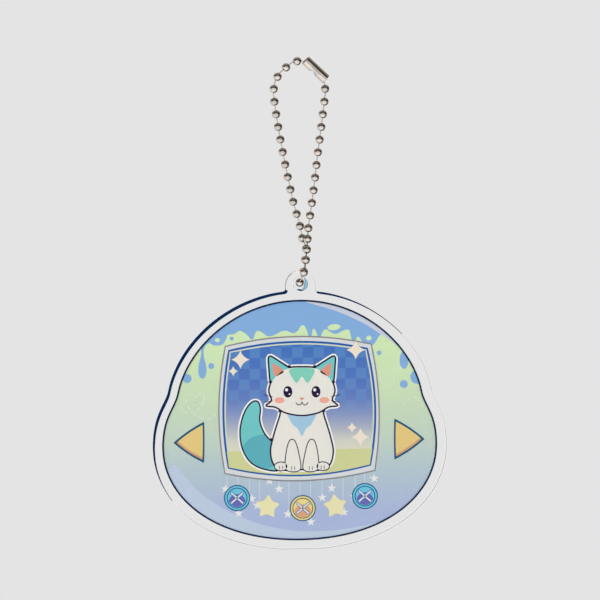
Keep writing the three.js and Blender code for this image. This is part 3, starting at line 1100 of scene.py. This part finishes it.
def bead_centre(node):
    """The middle of a CAD bead: the sphere of the bead's radius that best fits its shell."""
    pts = [v.co / MM for v in frame["nodes"][node].data.vertices]
    centre = sum(pts, Vector()) / len(pts)
    for step in range(60):
        spread = max(0.03, 0.6 * 0.9**step)
        pull, total = Vector(), 0.0
        for p in pts:
            ray = p - centre
            miss = ray.length - BEAD_RADIUS
            weight = math.exp(-((miss / spread) ** 2))
            pull += ray.normalized() * miss * weight
            total += weight
        centre += pull * (1.6 / total)
    return centre


def eye(centre, axis, side):
    """The middle of a bead's eye: side +1 is the one towards the bead before it."""
    return centre + axis * BEAD_RADIUS * side


def add_link(name, upper_eye, lower_eye, body):
    """The wire link that runs from one bead's eye to the next bead's eye, with a head inside each."""
    run = lower_eye - upper_eye
    reach = run.length + 2 * (BEAD_RADIUS - HEAD_INSET)
    obj = link(link_mesh(reach), name, CHAIN_METAL)
    point_along(obj, run, (upper_eye + lower_eye) / 2 * MM)
    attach(obj, body)
    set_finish(obj, "chain_nickel")
    return obj


def body_of_node(node):
    for body, nodes in frame["record"]["behaviour"]["bodies"].items():
        if node in nodes:
            return body
    raise KeyError(node)


def build_chain():
    """Both strands: a drawn bead for each CAD bead, and a separate link above each."""
    shell = bead_mesh()
    shell.materials.append(CHAIN_METAL)
    strands = {}
    for side, count in (("left", 20), ("right", 17)):
        nodes = [f"end_bead_{side}"] + [f"bead_{side}_{i:02d}" for i in range(1, count + 1)]
        strands[side] = [(node, bead_centre(node)) for node in nodes]
    ends = {}
    for side, other in (("left", "right"), ("right", "left")):
        row = strands[side]
        centres = [c for _, c in row] + [strands[other][-1][1]]
        axes = []
        for i in range(len(row)):
            before = centres[max(i - 1, 0)]
            axes.append((before - centres[i + 1]).normalized())
        for i, (node, centre) in enumerate(row):
            body = body_of_node(node)
            bead = bpy.data.objects.new(f"shell_{node}", shell)
            bpy.context.scene.collection.objects.link(bead)
            point_along(bead, axes[i], centre * MM)
            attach(bead, body)
            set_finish(bead, "chain_nickel")
            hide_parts(node)
            if i:
                above = eye(centres[i - 1], axes[i - 1], -1)
                add_link(f"link_{node[5:]}", above, eye(centre, axes[i], 1), body)
        ends[side] = eye(row[-1][1], axes[-1], -1)
    closing = add_link("link_closing", ends["right"], ends["left"], body_of_node("closing_link"))
    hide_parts("closing_link")


# ---------------------------------------------------------------- the clasp
CLASP_HALF = 3.7
CLASP_R = 1.34
CLASP_SHEET = 0.14
CLASP_LIP = 0.32
CLASP_ROLL = 0.26  # the radius of its turned-in ends
SLOT_HALF = 0.37
MOUTH_R = 1.12
CLASP_MIDDLE = Vector((3.95, 0.0, -1.1))
CLASP_TILT = math.radians(-43)


def build_clasp():
    """A sleeve of rolled sheet: slot, keyhole mouth and turned-in ends."""
    ends = [
        (CLASP_HALF - short, CLASP_R - low)
        for short, low in (
            (0, CLASP_LIP), (0, CLASP_ROLL), (0.02, 0.16), (0.07, 0.07), (0.16, 0.015), (CLASP_ROLL, 0),
        )
    ]
    stations = [(-h, r) for h, r in ends]
    inner = CLASP_HALF - CLASP_ROLL
    steps = 44
    stations += [(-inner + 2 * inner * i / steps, CLASP_R) for i in range(1, steps)]
    stations += ends[::-1]
    around = 56
    bm = bmesh.new()
    skins = []
    for depth in (0.0, CLASP_SHEET):
        rows = []
        for k, (h, r) in enumerate(stations):
            a, b = stations[max(k - 1, 0)], stations[min(k + 1, len(stations) - 1)]
            along = Vector((b[0] - a[0], b[1] - a[1])).normalized()
            hh, rr = h + along.y * depth, r - along.x * depth
            gap = SLOT_HALF
            if abs(h) < MOUTH_R:
                gap = max(gap, math.sqrt(MOUTH_R**2 - h**2))
            start = math.asin(min(0.98, gap / CLASP_R))
            row = []
            for i in range(around + 1):
                t = start + (2 * math.pi - 2 * start) * i / around
                row.append(bm.verts.new((rr * math.cos(t) * MM, rr * math.sin(t) * MM, hh * MM)))
            rows.append(row)
        skins.append(rows)
    outer, inside = skins
    for k in range(len(stations) - 1):
        for i in range(around):
            bm.faces.new((outer[k][i], outer[k][i + 1], outer[k + 1][i + 1], outer[k + 1][i]))
            bm.faces.new((inside[k][i + 1], inside[k][i], inside[k + 1][i], inside[k + 1][i + 1]))
        for i in (0, around):
            bm.faces.new((outer[k][i], outer[k + 1][i], inside[k + 1][i], inside[k][i]))
    for k in (0, -1):
        for i in range(around):
            bm.faces.new((outer[k][i], outer[k][i + 1], inside[k][i + 1], inside[k][i]))
    bmesh.ops.recalc_face_normals(bm, faces=bm.faces)
    mesh = mesh_of(bm, "clasp_rolled_sheet")
    obj = link(mesh, "clasp_rolled_sheet", nickel("nickel_clasp", rough=0.17), 50)
    axis = Vector((math.cos(CLASP_TILT), 0, math.sin(CLASP_TILT)))
    slot_way = Vector((axis.z, 0, -axis.x))
    turn = Matrix((slot_way, axis.cross(slot_way), axis)).transposed().to_4x4()
    obj.matrix_world = Matrix.Translation(CLASP_MIDDLE * MM) @ turn
    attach(obj, "clasp")
    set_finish(obj, "clasp_nickel")
    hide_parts("clasp_sleeve")


# ---------------------------------------------------------------- studio
FLOOR_Z = -0.222
BACKGROUND = linear((228, 228, 228))
THROUGH_GAIN = 1.075  # makes up for what the slab's two faces reflect away
SWEEP_WAY = Vector((-0.08, -0.86, -0.5)).normalized()  # where metal sees the bright sweep in front of it
CARD_WAY = Vector((-0.75, 0.1, -0.65)).normalized()  # and a smaller white card
LENS_WAY = Vector((0.1, -0.99, -0.08)).normalized()  # a dark patch, which the slab's face mirrors


def build_floor():
    bm = bmesh.new()
    bmesh.ops.create_circle(bm, cap_ends=True, segments=96, radius=0.36)
    mesh = mesh_of(bm, "floor")
    material = bpy.data.materials.new("floor_paper")
    n = Nodes(material)
    tone = n.mix(n.map(n.noise(40, 3.0), 0.3, 0.7), linear((224, 224, 224)), linear((229, 229, 229)))
    n.shader("ShaderNodeBsdfPrincipled", {"Base Color": tone, "Roughness": 0.9})
    obj = link(mesh, "floor", material)
    obj.location.z = FLOOR_Z
    obj.visible_glossy = False


def build_world():
    """Even pale light; a mirrored ray sees a dark room with a bright sweep in front and a card."""
    world = bpy.data.worlds.new("studio")
    bpy.context.scene.world = world
    n = Nodes(world)
    way = n.add("ShaderNodeTexCoord").outputs["Generated"]
    split = n.add("ShaderNodeSeparateXYZ", {"Vector": way})
    room = n.ramp(
        n.map(split.outputs["Z"], -1, 1),
        [
            (0.0, (0.30, 0.27, 0.24, 1)), (0.3, (0.55, 0.52, 0.49, 1)),
            (0.44, (0.42, 0.38, 0.34, 1)), (0.52, (0.12, 0.095, 0.075, 1)),
            (0.72, (0.06, 0.045, 0.035, 1)), (0.86, (0.16, 0.13, 0.10, 1)), (1.0, (0.42, 0.38, 0.34, 1)),
        ],
    )
    behind = n.map(split.outputs["Y"], 0.0, 0.4)
    above = n.maths("MULTIPLY", behind, n.map(split.outputs["Z"], 0.25, 0.7))
    room = n.mix(above, room, (0.85, 0.76, 0.66, 1))
    below = n.maths("MULTIPLY", behind, n.map(split.outputs["Z"], -0.2, -0.5))
    room = n.mix(below, room, (0.14, 0.11, 0.085, 1))
    for towards, edge, full, light in (
        (CARD_WAY, 0.45, 0.8, (1.45, 1.4, 1.36, 1)),
        (SWEEP_WAY, 0.45, 0.72, (1.72, 1.75, 1.82, 1)),
        (LENS_WAY, 0.988, 0.993, (0.06, 0.06, 0.06, 1)),
    ):
        near = n.add("ShaderNodeVectorMath", {0: way, 1: towards}, operation="DOT_PRODUCT").outputs["Value"]
        room = n.mix(n.map(near, edge, full), room, light)
    room = n.mix(n.map(split.outputs["Y"], 0.9, 0.96), room, BACKGROUND)
    path = n.add("ShaderNodeLightPath")
    mirrored_once = n.maths("MINIMUM", path.outputs["Glossy Depth"], 1.0)
    soft = n.mix(mirrored_once, (1.04, 1.035, 1.03, 1), room)
    not_mirrored = n.maths("SUBTRACT", 1.0, mirrored_once)
    through = n.maths("MULTIPLY", path.outputs["Is Transmission Ray"], not_mirrored)
    soft = n.mix(through, soft, (*(c * THROUGH_GAIN for c in BACKGROUND[:3]), 1))
    colour = n.mix(path.outputs["Is Camera Ray"], soft, BACKGROUND)
    background = n.add("ShaderNodeBackground", {"Color": colour, "Strength": 1.0})
    n.add("ShaderNodeOutputWorld", {"Surface": background.outputs[0]})


def add_area(name, place, target, size, power, colour=(1, 1, 1)):
    data = bpy.data.lights.new(name, "AREA")
    data.shape, data.size, data.energy, data.color = "DISK", size, power, colour
    obj = bpy.data.objects.new(name, data)
    bpy.context.scene.collection.objects.link(obj)
    obj.location = place
    obj.rotation_mode = "QUATERNION"
    obj.rotation_quaternion = (Vector(target) - Vector(place)).to_track_quat("-Z", "Y")
    obj.visible_glossy = False
    return obj


CHAIN_METAL = nickel("nickel_chain")
build_floor()
build_world()
add_area("key", (-0.5, -0.7, 0.45), AIM, 0.5, 1.6, (1.0, 0.985, 0.96))
outline, hole_ring = build_slab()
build_painted_edge_reflection(outline)
build_painted_hole_reflection()
build_base()
build_backing()
build_curves()
build_arrows()
build_buttons()
build_stars()
build_screen()
build_pet()
build_chain()
build_clasp()
